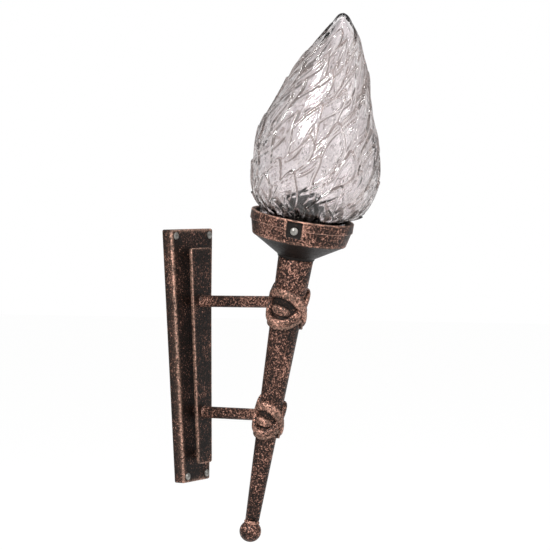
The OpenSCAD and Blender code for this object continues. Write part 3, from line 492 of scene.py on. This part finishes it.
def make_braid(which, s0, wave_h, size):
    """One rounded band that winds twice round the torch and crosses itself three times:
    its middle follows the cosine of its phase, and it stands out by the sine, so that it
    passes over and under itself."""
    path = np.linspace(0, BRAID_TURN, BRAID_STEPS, endpoint=False)
    rise = braid_rise(path)
    for _ in range(3):
        rise = (rise + np.roll(rise, 1) + np.roll(rise, -1)) / 3
    middle_r = tube_radius(s0) + 3
    steps = np.gradient(np.concatenate([rise[-2:], rise, rise[:2]]) * wave_h)[2:-2, None]
    run = middle_r * np.radians(BRAID_TURN / BRAID_STEPS)
    length = np.hypot(run, steps)
    around = np.linspace(0, 2 * np.pi, 28, endpoint=False)[None, :]
    across = size * (BAND_HALF + BAND_SWELL * rise)[:, None] * bulge(np.cos(around), 0.9)
    thick = np.where(np.sin(around) > 0, BAND_FRONT, BAND_BACK) * bulge(np.sin(around), 0.9)
    turn = np.radians(path)[:, None] - across * steps / length / middle_r
    s = s0 + wave_h * rise[:, None] + across * run / length
    out = BAND_OUT + BAND_OVER * np.sin(braid_phase(path))[:, None] + thick
    # the band's outer crest is brighter, as wear and painted highlight
    wear = smooth(out, 3.6, 5.8) * 0.4
    band = skin(which + "_braid", on_tube(turn, s, out), poles=False, wear=wear)
    return fit(band, "aged_copper_rubbed", "sconce", which + "_collar")


def make_sleeve(which, s0, wave_h, size):
    """A low ring on the tube under the band, as high as the band's eyes at every angle, with
    a raised edge at both its ends."""
    side = np.linspace(0, 360, 120, endpoint=False)
    height = np.abs(braid_rise(side))[None, :]
    reach = wave_h * height + size * (4.6 + 6.4 * np.clip(1 - height, 0, 1))
    share, lift = (column[:, None] for column in np.transpose(SLEEVE))
    points = on_tube(np.radians(side) + 0 * share, s0 + share * reach, lift + 0 * reach)
    # its raised edges are brighter, as wear and painted highlight
    wear = np.where(lift > 1.5, 0.6, 0.0)
    sleeve = skin(which + "_sleeve", points, poles=False, wear=wear)
    # its darker finish is painted shade under and between the band's turns
    return fit(sleeve, "aged_copper_dark", "sconce", which + "_collar")


def make_boss(which, number, s0, eye, size):
    """Oval boss across the torch: a superellipsoid that stands half out of the sleeve."""
    up = np.linspace(-np.pi / 2, np.pi / 2, 33)[:, None]
    about = np.linspace(0, 2 * np.pi, 48, endpoint=False)[None, :]
    ring = bulge(np.cos(up), 0.7)
    along = BOSS_LONG * size * ring * bulge(np.cos(about), 0.85)
    across = BOSS_WIDE * size * ring * bulge(np.sin(about), 0.95) - BOSS_SLANT * along
    out = BOSS_FOOT + BOSS_H * bulge(np.sin(up), 0.8) + 0 * about
    turn = eye + along / (tube_radius(s0) + 4)
    # the boss's top is brighter, as wear and painted highlight
    wear = 0.15 + 0.5 * smooth(out, 3.5, 5.6) * smooth(ring + 0 * about, 0.5, 0.9)
    boss = skin(f"{which}_boss_{number}", on_tube(turn, s0 + across, out), wear=wear)
    return fit(boss, "aged_copper_rubbed", "sconce", which + "_collar")


def make_collar(which):
    """A casting of a crossing band over a low sleeve, with oval bosses in two of its eyes."""
    wave_h, drop = COLLARS[which]
    s0 = (ARM_Z[which] - BALL[2]) / np.cos(TILT) - drop
    size = wave_h / COLLARS["upper"][0]
    make_braid(which, s0, wave_h, size)
    make_sleeve(which, s0, wave_h, size)
    for number, eye in enumerate(EYE_BOSSES, 1):
        make_boss(which, number, s0 - BOSS_DROP * size, np.radians(eye), size)


# ------------------------------------------------------------------- gallery cup

CUP_BAND, CUP_RIM = 321.8, 348.3           # lower edge of the cup's band, and its rim
BAND_LOW_R, BAND_TOP_R, BAND_TAPER = 50.5, 53.6, 12.9      # radii, and the height between them
RING_R, RING_LOW = 54.8, CUP_RIM - 10.2    # the raised ring's radius and lower edge
LEDGE_R, RIM_EDGE_R = 3, 0.8               # rounding under the band and on the rim
GALLERY_TURN = 206                         # angle of the first gallery screw of three
RECESS_LOW, RECESS_HIGH = CUP_RIM - 18.8, CUP_RIM - 1.8
RECESS_FLOOR = 51.2                        # distance of a recess's flat floor from the axis
RECESS_EDGE = np.degrees(np.arcsin(8 / 52.5))      # from its middle to its side, 8 mm away
RIM_STEPS, RIM_SHADED = 5, 2               # rows of the rim's rounding, and how many of the last take painted shade
CUP_INSIDE = [                             # radius and length, from the rim down to the axis
    (RING_R - 2.6, CUP_RIM), (RING_R - 3.2, CUP_RIM - 0.4), (RING_R - 3.8, CUP_RIM - 2),
    (47.7, 323.6), (47.5, 323.4), (39.2, 323.4), (39, 323.2), (39, 319.4),
    (18.85, 308.5), (18.5, 308.4), (0, 308.4)]


def cup_section():
    """The cup's half section as rows of radius and length: bead, cone, rounded ledge, band,
    raised ring and rounded rim, then down its inside."""
    foot = tube_radius(TORCH_LEN)
    ledge = np.radians(np.linspace(-62, 2, 9))
    heights = np.concatenate([
        np.linspace(CUP_BAND + 3.6, RECESS_LOW - 0.15, 5), [RECESS_LOW + 0.15, RECESS_LOW + 0.7],
        np.linspace(RECESS_LOW + 1.6, RING_LOW - 1, 7),
        RING_LOW + np.array([-0.5, -0.25, 0, 0.3, 0.8]),
        np.linspace(RING_LOW + 1.8, RECESS_HIGH - 0.6, 7), [RECESS_HIGH - 0.12, RECESS_HIGH + 0.12]])
    rise = (heights - CUP_BAND - LEDGE_R) / BAND_TAPER
    band_r = np.minimum(BAND_LOW_R + (BAND_TOP_R - BAND_LOW_R) * rise, BAND_TOP_R)
    band_r[heights > RING_LOW - 0.1] = RING_R
    band_r[np.isclose(heights, RING_LOW)] = RING_R - 0.45
    rim = np.radians(np.linspace(0, 90, RIM_STEPS))
    return np.concatenate([
        [[0, TORCH_LEN], [foot + 0.4, TORCH_LEN], [foot + 0.9, TORCH_LEN + 0.4],
         [foot + 0.9, TORCH_LEN + 1.0], [foot + 1.2, TORCH_LEN + 1.9]],
        np.linspace([foot + 2.5, TORCH_LEN + 3.2], [BAND_LOW_R - 2.4, CUP_BAND + 0.1], 20),
        np.stack([BAND_LOW_R + LEDGE_R * (np.cos(ledge) - 1), CUP_BAND + LEDGE_R * (1 + np.sin(ledge))], -1),
        np.stack([band_r, heights], -1),
        np.stack([RING_R + RIM_EDGE_R * (np.cos(rim) - 1), CUP_RIM + RIM_EDGE_R * (np.sin(rim) - 1)], -1),
        CUP_INSIDE])


def cup_angles():
    """Angles round the cup in degrees, close together at both sides of each recess."""
    side = np.concatenate([np.linspace(-16, -RECESS_EDGE - 0.9, 8),
                           np.array([-0.35, -0.12, 0.12, 0.35, 0.9]) - RECESS_EDGE])
    third = np.concatenate([side, np.linspace(2 - RECESS_EDGE, RECESS_EDGE - 2, 9), -side[::-1],
                            np.linspace(16, 104, 60)[1:-1]])
    return np.concatenate([GALLERY_TURN + 120 * k + third for k in range(3)])


def make_cup():
    """The cup's half section spun round the torch. Each gallery screw's recess is a flat floor
    cut into the band, 16 mm wide and 17 mm high, with a low raised frame at its sides. The
    shade field covers the cone, the recesses, and the inside from the top of the rim on: painted
    shade in the recesses and inside, plainer paint with less copper on the cone. The step, the
    rim, the bend and the frames' sides are brighter, as wear and painted highlight."""
    profile = cup_section()
    degrees = cup_angles()[None, :]
    off = (degrees - GALLERY_TURN + 60) % 120 - 60
    r, s = profile[:, 0, None] + 0 * degrees, profile[:, 1, None] + 0 * degrees
    outside = (np.arange(len(profile)) < len(profile) - len(CUP_INSIDE) - RIM_SHADED)[:, None]
    in_recess = (s > RECESS_LOW) & (s < RECESS_HIGH)
    cut = (np.abs(off) < RECESS_EDGE) & in_recess & outside
    r = np.where(cut, np.minimum(r, RECESS_FLOOR / np.cos(np.radians(off))), r)
    side = near(np.abs(off), RECESS_EDGE + 1.1, 0.8)
    r = r + 0.35 * side * (s > RECESS_LOW - 2) * (s < RECESS_HIGH + 0.5) * outside
    turn = np.radians(degrees)
    points = lean(np.stack([r * np.cos(turn), r * np.sin(turn), s], -1))
    # brighter on the raised ring's step, the rim, the bend and the frames' sides: wear and painted highlight
    rubbed_and_highlit = (0.75 * near(s, RING_LOW + 0.1, 0.45)
              + 0.8 * near(s, CUP_RIM, 1.0) * (profile[:, 0, None] > 45)
              + 0.25 * near(s, CUP_BAND + 2, 1.2) + 0.6 * side * in_recess)
    # the shade field: painted shade in the recesses, on the rim's inner half and inside; plainer paint on
    # the cone
    on_cone = smooth(-s, -CUP_BAND - 1.5, -CUP_BAND + 0.5)
    cup = skin("cup_shell", points, wear=np.clip(rubbed_and_highlit, 0, 1) * (1 - cut),
               shade=np.clip(on_cone + 0.9 * cut + ~outside, 0, 1))
    return fit(cup, "aged_copper_cup", "sconce", "gallery_cup")


# -------------------------------------------------------------------- glass flame

FLAME_H, FLAME_R, FLAME_LEAN = 216.5, 64.4, 12.0           # height, radius, sideways lean
FLAME_SIDE = np.radians(-55)               # the side to which the flame leans
VALLEY, WALL = 2.4, 3.5                    # depth of the valleys, and thickness of the glass
NECK_LOW, NECK_TOP = 323.8, CUP_RIM - 2    # ends of the glass neck
NECK_R = 45.5
FLAME_OUTLINE = [                          # share of height, of radius and of lean
    (0.005, 0.704, 0.00), (0.035, 0.815, 0.33), (0.090, 0.935, 0.40), (0.165, 0.990, 0.44),
    (0.255, 1.000, 0.43), (0.345, 0.975, 0.31), (0.440, 0.900, 0.22), (0.530, 0.773, 0.22),
    (0.625, 0.656, 0.32), (0.715, 0.554, 0.42), (0.810, 0.403, 0.55), (0.900, 0.255, 0.70),
    (0.960, 0.150, 0.66), (0.990, 0.075, 0.61), (1.000, 0.000, 0.60)]

# Tiers of flame tongues: foot and tip as shares of the flame's height, number round the
# glass, angle of one tip, and how far its foot lies back round the glass
TONGUES = [
    (-0.055, 0.070, 18, 209, -15), (-0.050, 0.220, 10, 197, 26), (-0.010, 0.310, 10, 214, 36),
    (0.030, 0.400, 9, 203, 44), (0.080, 0.500, 8, 232, 50), (0.180, 0.585, 8, 207, 56),
    (0.270, 0.675, 7, 230, 60), (0.370, 0.755, 7, 209, 64), (0.470, 0.830, 6, 201, 68),
    (0.580, 0.895, 5, 236, 72), (0.690, 0.940, 4, 212, 74)]
TONGUE_SPREAD = 216                        # half width of a tongue in degrees, times their number
RIBS = 14                                  # long ribs that sweep from the base to the tip


def tongue_relief(turn, share, radius):
    """Height of the tongues over the glass, and how near a point lies to a tongue's rim.
    Each tongue sweeps up round the glass to its tip, is widest a third of the way up, and
    stands out more towards the tip. Across it is a low dome, and a narrow raised rim runs
    along its edge. Small waves in tips, feet and sides keep them from being alike. The highest
    tongue at a point is the one that shows. Over them run long ribs with swellings between."""
    relief, ridge = np.zeros((2, *np.broadcast(turn, share).shape))
    for foot, tip, count, angle, back in TONGUES:
        for k in range(count):
            this_tip = tip + 0.023 * wave(137 * k + 360 * tip)
            rest = np.clip((this_tip - share) / (this_tip - foot), 0, 1)
            middle = (angle + 360 * k / count + 5 * wave(97 * k + 360 * foot) - back * rest ** 1.35
                      + 3 * wave(1240 * share + 115 * k))
            half = TONGUE_SPREAD / count * rest ** 0.55 * smooth(rest, 1.1, 0.6)
            half = np.maximum(half, 0.1)
            away = (np.degrees(turn) - middle + 180) % 360 - 180
            inside = np.minimum((half - np.abs(away)) * np.radians(1) * np.maximum(radius, 4),
                                (this_tip - share) * FLAME_H)
            dome = np.maximum(1 - (away / half) ** 2, 0)
            rim = near(inside, 3, 1.9)
            leaf = smooth(inside, -0.2, 2.2) * (0.5 + 3.5 * (1 - rest) + 1.4 * dome + 2.2 * rim)
            ridge = np.where(leaf > relief, rim, ridge)
            relief = np.maximum(relief, leaf)
    pitch = 360 / RIBS
    swept = (np.degrees(turn) - 185 * share + 7 * wave(820 * share + 2 * np.degrees(turn))) / pitch
    off = np.abs(swept - np.round(swept))
    rib = near(off * np.radians(pitch) * radius, 0, 1.8) * smooth(radius, 6, 30)
    swell = (1 - (1 - 2 * off) ** 2) * (1 + wave(2300 * share + 137 * np.round(swept)))
    relief = relief + (2.0 * rib + 0.45 * swell) * (1 - ridge)
    return relief, np.maximum(ridge, rib)


def flame_face(t, turn, inset=0):
    """Points of the glass at places t along its outline and turn round it: a circle of the
    outline's radius, its centre moved sideways as the flame leans. The outer face has the
    tongues, and an inset one only ripples near its base. Both fade out at the tip and the
    neck. Also gives the height of the relief and the nearness to a rim."""
    share, wide, side = (column[:, None] for column in through(FLAME_OUTLINE, t).T)
    radius = np.maximum(wide * FLAME_R - inset, 0)
    if inset:
        relief = 1.3 * wave(18 * np.degrees(turn) + 9000 * share) * near(share, 0, 0.09)
        ridge = 0
    else:
        relief, ridge = tongue_relief(turn, share, radius)
        relief = relief - VALLEY
    fade = smooth(share, 0, 0.04) * smooth(share, 0.985, 0.9) * smooth(radius, 2, 30)
    r = np.maximum(radius + relief * fade, 0)
    x = r * np.cos(turn) + side * FLAME_LEAN * np.cos(FLAME_SIDE)
    y = r * np.sin(turn) + side * FLAME_LEAN * np.sin(FLAME_SIDE)
    z = CUP_RIM + share * (FLAME_H - inset) + 0 * turn
    return np.stack([x, y, z], -1), relief * fade, ridge * fade


def flame_crease(t, turn, relief):
    """The slope of the tongues' relief, and over it wavy bands round the base, both for painted
    dark refraction: at steep relief, and of the cup seen behind the bands."""
    share, wide, _ = (column[:, None] for column in through(FLAME_OUTLINE, t).T)
    radius = np.maximum(wide * FLAME_R, 5)
    across = np.gradient(relief, axis=1) / (2 * np.pi / turn.size * radius)
    slope = np.hypot(across, np.gradient(relief, axis=0) / (FLAME_H / len(t)))
    degrees = np.degrees(turn)
    # painted dark refraction of the cup seen through the base
    painted_base_bands = smooth(wave(27 * degrees + 3200 * share + 70 * wave(5 * degrees)), 0.0, 0.8)
    painted_base_bands = 2 * painted_base_bands * smooth(share + 0.02 * wave(11 * degrees), 0.14, 0.05)
    return np.maximum(np.clip(slope * 0.95, 0, 1), painted_base_bands)


def make_flame():
    """Outer face up from the neck to the tip, and inner face down again, as one closed shell
    of glass. Its painted dark refraction and painted rim highlight fields are kept for its finish."""
    turn = np.linspace(0, 2 * np.pi, 450, endpoint=False)[None, :]
    last = len(FLAME_OUTLINE) - 1
    t = np.linspace(0, last, 175)
    outer, relief, ridge = flame_face(t, turn)
    inner = flame_face(last * np.linspace(1, 0, 36) ** 1.6, turn, VALLEY + WALL / 2)[0]
    neck_out = [(NECK_R - 1.5, NECK_LOW), (NECK_R - 0.5, NECK_LOW), (NECK_R, NECK_LOW + 0.6),
                (NECK_R, 330), (NECK_R, 338), (NECK_R, NECK_TOP)]
    neck_in = [(NECK_R - WALL, NECK_TOP), (NECK_R - WALL, 332), (NECK_R - WALL, NECK_LOW + 0.6)]
    points = np.concatenate([spun(neck_out, turn.size), outer, inner, spun(neck_in, turn.size)])
    # painted dark refraction and painted rim highlight, on the outer face only
    crease, crest = np.zeros((2, *points.shape[:2]))
    outside = slice(len(neck_out), len(neck_out) + len(t))
    crease[outside], crest[outside] = flame_crease(t, turn, relief), ridge
    flame = skin("flame_glass", lean(points), poles=False, crease=crease, crest=crest)
    return fit(flame, "clear_glass", "glass_flame", "glass_shade", slot="clear_glass")


# -------------------------------------------------------------------- all pieces

def dress_nodes():
    """CAD nodes that stay: the record gives each node's slot, and the finish has its name."""
    slot_of = {row["node"]: row["material_slot"] for row in frame["record"]["subparts"]}
    for name, node in frame["nodes"].items():
        finish = slot_of[name].replace("aged_copper", "aged_copper_dark")
        node.data.materials.clear()
        node.data.materials.append(finishes[finish])


make_plate()
make_strap()
for arm in ARM_Z:
    make_arm(arm)
make_tube()
make_ball()
for collar in COLLARS:
    make_collar(collar)
make_cup()
make_flame()
dress_nodes()


# ------------------------------------------------- floor, lights and camera

# Lengths are metres from here on, as lamps and cameras take them
FLOOR_HALF, FLOOR_Z = 8, -0.45
LAMP_AIM, CAMERA_AIM = (0, -0.1, 0.09), (0, -0.1, 0.0875)
LAMPS = {                                  # azimuth, elevation, distance, size and power
    "key": (195, 30, 1.8, 0.6, 42),
    "fill": (268, 15, 2.0, 1.2, 14),
    "top": (220, 75, 1.6, 0.8, 12),
    "spark_1": (185, 35, 1.3, 0.1, 0.8),
    "spark_2": (222, 12, 1.3, 0.1, 0.8),
    "spark_3": (246, 48, 1.3, 0.1, 0.8),
    "spark_4": (285, 25, 1.3, 0.1, 0.8)}


def make_floor():
    """A pale floor, well below the sconce, which the camera sees as white."""
    corners = [(x * FLOOR_HALF, y * FLOOR_HALF, FLOOR_Z) for x, y in ((-1, -1), (1, -1), (1, 1), (-1, 1))]
    mesh = bpy.data.meshes.new("floor")
    mesh.from_pydata(corners, [], [(0, 1, 2, 3)])
    floor = bpy.data.objects.new("floor", mesh)
    bpy.context.collection.objects.link(floor)
    made = Finish("pale_floor")
    made.finish(Base_Color=(0.80, 0.80, 0.79), Roughness=0.9)
    path = made.node("ShaderNodeLightPath")
    seen = made.math("MAXIMUM", path.outputs["Is Camera Ray"], path.outputs["Is Transmission Ray"])
    seen = made.math("MAXIMUM", seen, path.outputs["Is Glossy Ray"])
    glow = made.node("ShaderNodeEmission", {"Color": (1, 1, 1, 1), "Strength": 1.12})
    both = made.either(made.math("MULTIPLY", seen, 0.8), made.shader.outputs[0], glow.outputs[0])
    made.set(made.tree.nodes["Material Output"].inputs["Surface"], both)
    mesh.materials.append(made.material)


def make_world():
    """Soft grey sky that is lighter above, and plain white where the camera looks past the
    object. Glass sees the same white at the horizon, and dimmer cloudy light away from it."""
    world = bpy.data.worlds.new("studio")
    bpy.context.scene.world = world
    world.use_nodes = True
    world.node_tree.nodes.clear()
    made = Nodes(world.node_tree, "Generated")

    def light(strength):
        return made.node("ShaderNodeBackground", {
            "Color": (1, 1, 1, 1), "Strength": strength}).outputs[0]

    path = made.node("ShaderNodeLightPath")
    z = made.node("ShaderNodeSeparateXYZ", {0: made.place}).outputs["Z"]
    clouds = made.span(made.noise(2.4, 2, 0.5), 0.38, 0.56, 0.6, 1.0)
    dimming = made.span(made.math("ABSOLUTE", z), 0.15, 0.8, 1.08, 0.45)
    sky = light(made.span(z, -0.7, 0.9, 0.18, 0.60))
    through_glass = light(made.math("MULTIPLY", dimming, clouds))
    seen = made.either(path.outputs["Is Transmission Ray"], sky, through_glass)
    seen = made.either(path.outputs["Is Camera Ray"], seen, light(1.0))
    made.node("ShaderNodeOutputWorld", {"Surface": seen})


def facing(aim, azimuth, elevation, distance):
    """Place of a lamp or camera that looks at a point. Azimuth is counted from +X."""
    a, e = np.radians(azimuth), np.radians(elevation)
    away = Vector((np.cos(a) * np.cos(e), np.sin(a) * np.cos(e), np.sin(e)))
    turned = away.to_track_quat("Z", "Y").to_matrix().to_4x4()
    return Matrix.Translation(Vector(aim) + distance * away) @ turned


def make_lamp(name, azimuth, elevation, distance, size, power):
    """A soft square lamp that faces the middle of the sconce."""
    lamp = bpy.data.lights.new(name, "AREA")
    lamp.shape, lamp.size, lamp.energy = "SQUARE", size, power
    piece = bpy.data.objects.new(name, lamp)
    piece.matrix_world = facing(LAMP_AIM, azimuth, elevation, distance)
    bpy.context.collection.objects.link(piece)


def make_camera():
    """The photograph's view: from the front, 55 degrees round towards -X, 1.7 degrees up,
    and rolled by one degree."""
    camera = bpy.data.cameras.new("camera")
    camera.sensor_width, camera.lens = 36, 134.2
    camera.shift_x, camera.shift_y = 0.0295, 0.0015
    camera.clip_end = 30
    piece = bpy.data.objects.new("camera", camera)
    roll = Matrix.Rotation(np.radians(-1.01), 4, "Z")
    piece.matrix_world = facing(CAMERA_AIM, -90 - 55, 1.68, 2.2) @ roll
    bpy.context.collection.objects.link(piece)
    bpy.context.scene.camera = piece


make_floor()
make_world()
for lamp, setting in LAMPS.items():
    make_lamp(lamp, *setting)
make_camera()
bpy.context.scene.view_settings.view_transform = "Standard"
